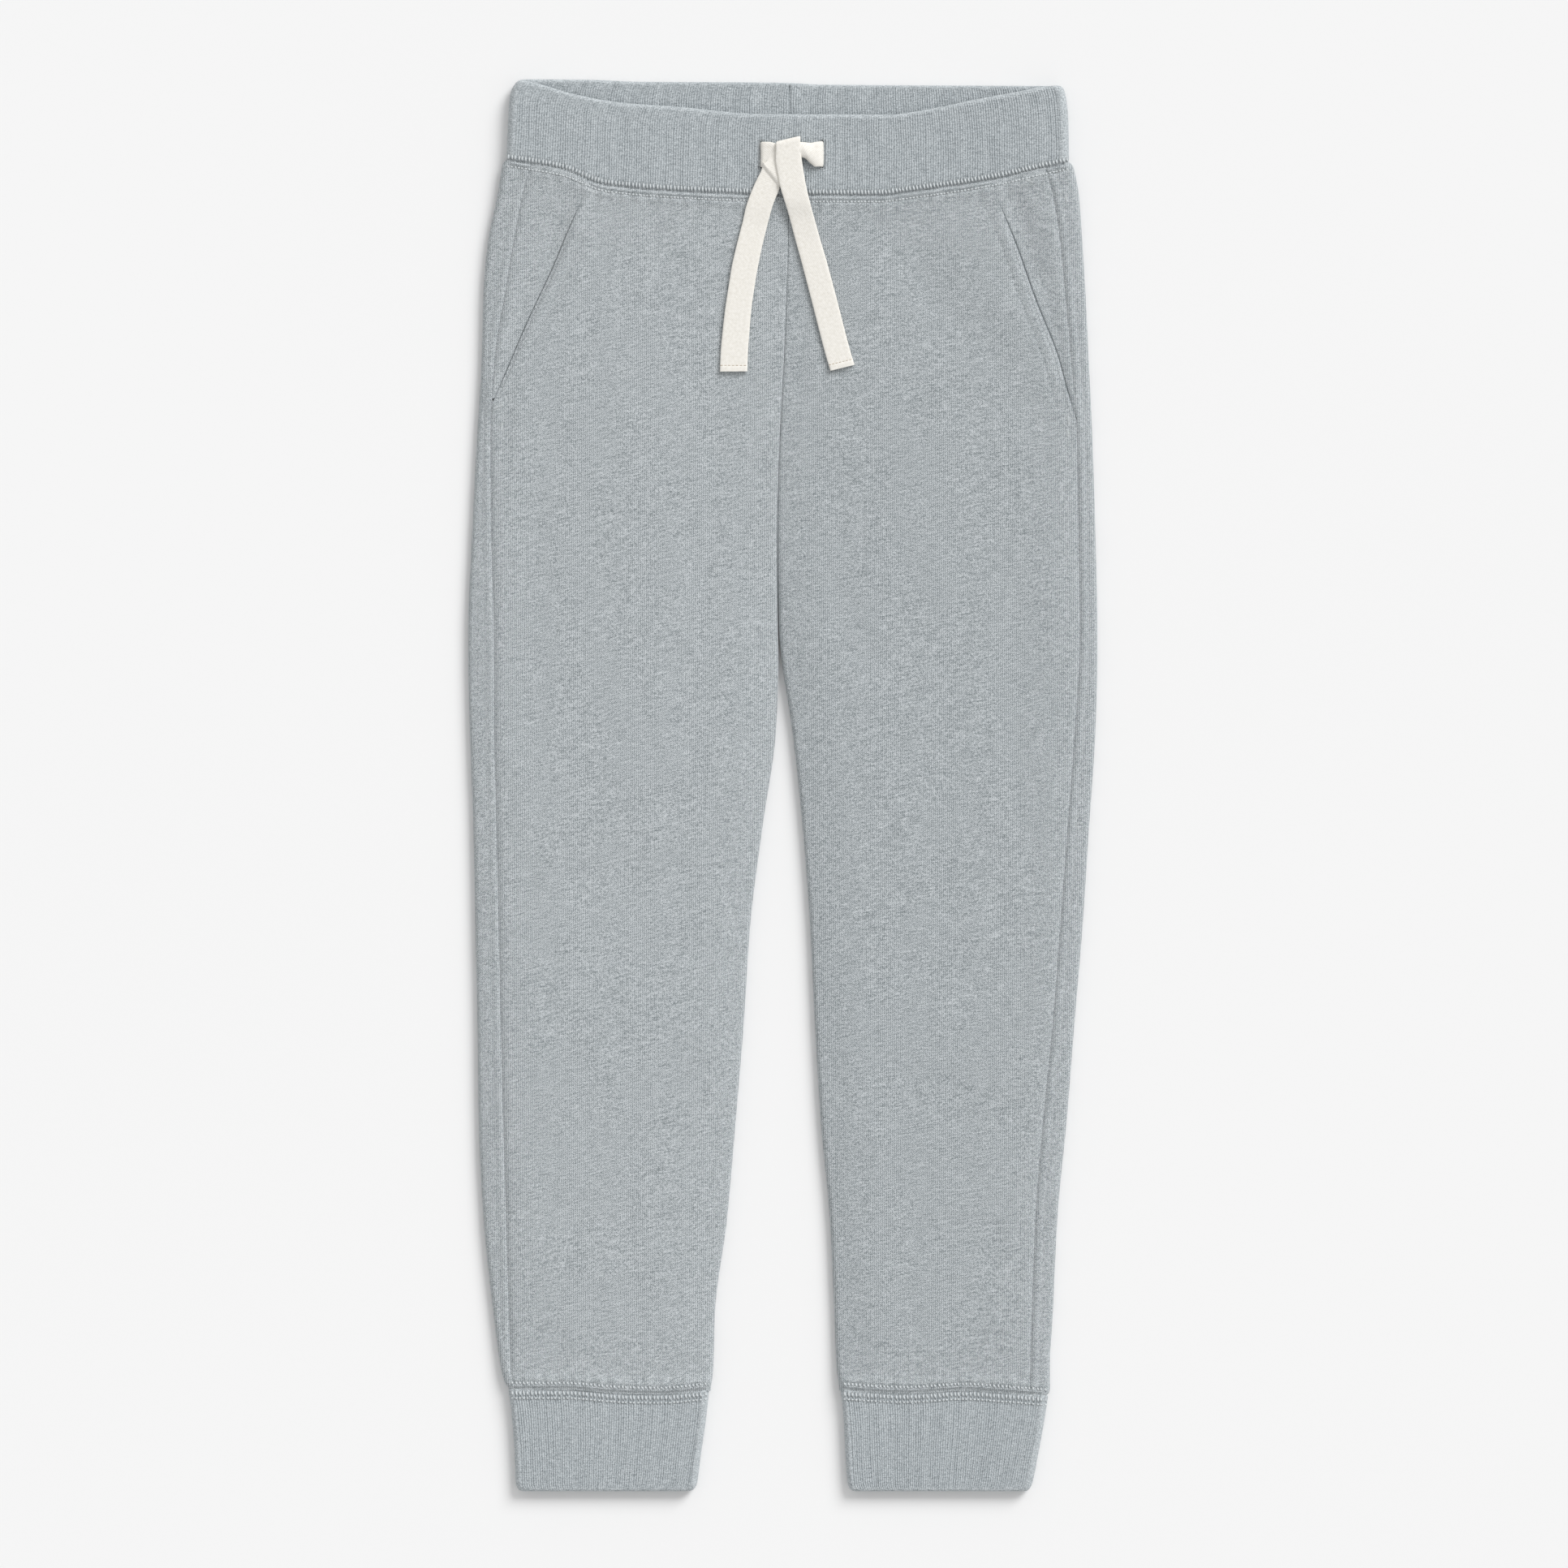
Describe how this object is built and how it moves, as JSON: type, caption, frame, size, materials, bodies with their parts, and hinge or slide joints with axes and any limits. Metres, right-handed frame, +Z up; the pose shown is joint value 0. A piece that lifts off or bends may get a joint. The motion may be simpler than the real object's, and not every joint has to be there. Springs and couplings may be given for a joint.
{
  "type": "child's fleece jogger sweatpants, laid flat",
  "caption": "Child's grey heather fleece jogger sweatpants laid flat, with a ribbed waistband and cuffs, slanted pockets and a flat white drawstring.",
  "frame": {"origin": "centre of the garment's outline, on the surface that it lies on", "axes": "+Y towards the waist, +Z up from the back to the front of the garment, +X to the right as seen from above with the waist at the top"},
  "size_m": [0.2634, 0.5909, 0.0106],
  "materials": {
    "fleece": "grey heather brushed fleece, smooth jersey face",
    "rib": "grey heather rib knit, doubled",
    "cotton_tape": "flat woven cotton tape, off-white"
  },
  "bodies": {
    "root": {"waistband": "rib", "front_left": "fleece", "back_left": "fleece", "pocket_facing_left": "fleece", "front_right": "fleece", "back_right": "fleece", "pocket_facing_right": "fleece", "cuff_left": "rib", "cuff_right": "rib", "drawstring_left": "cotton_tape", "drawstring_right": "cotton_tape"}
  },
  "joints": []
}
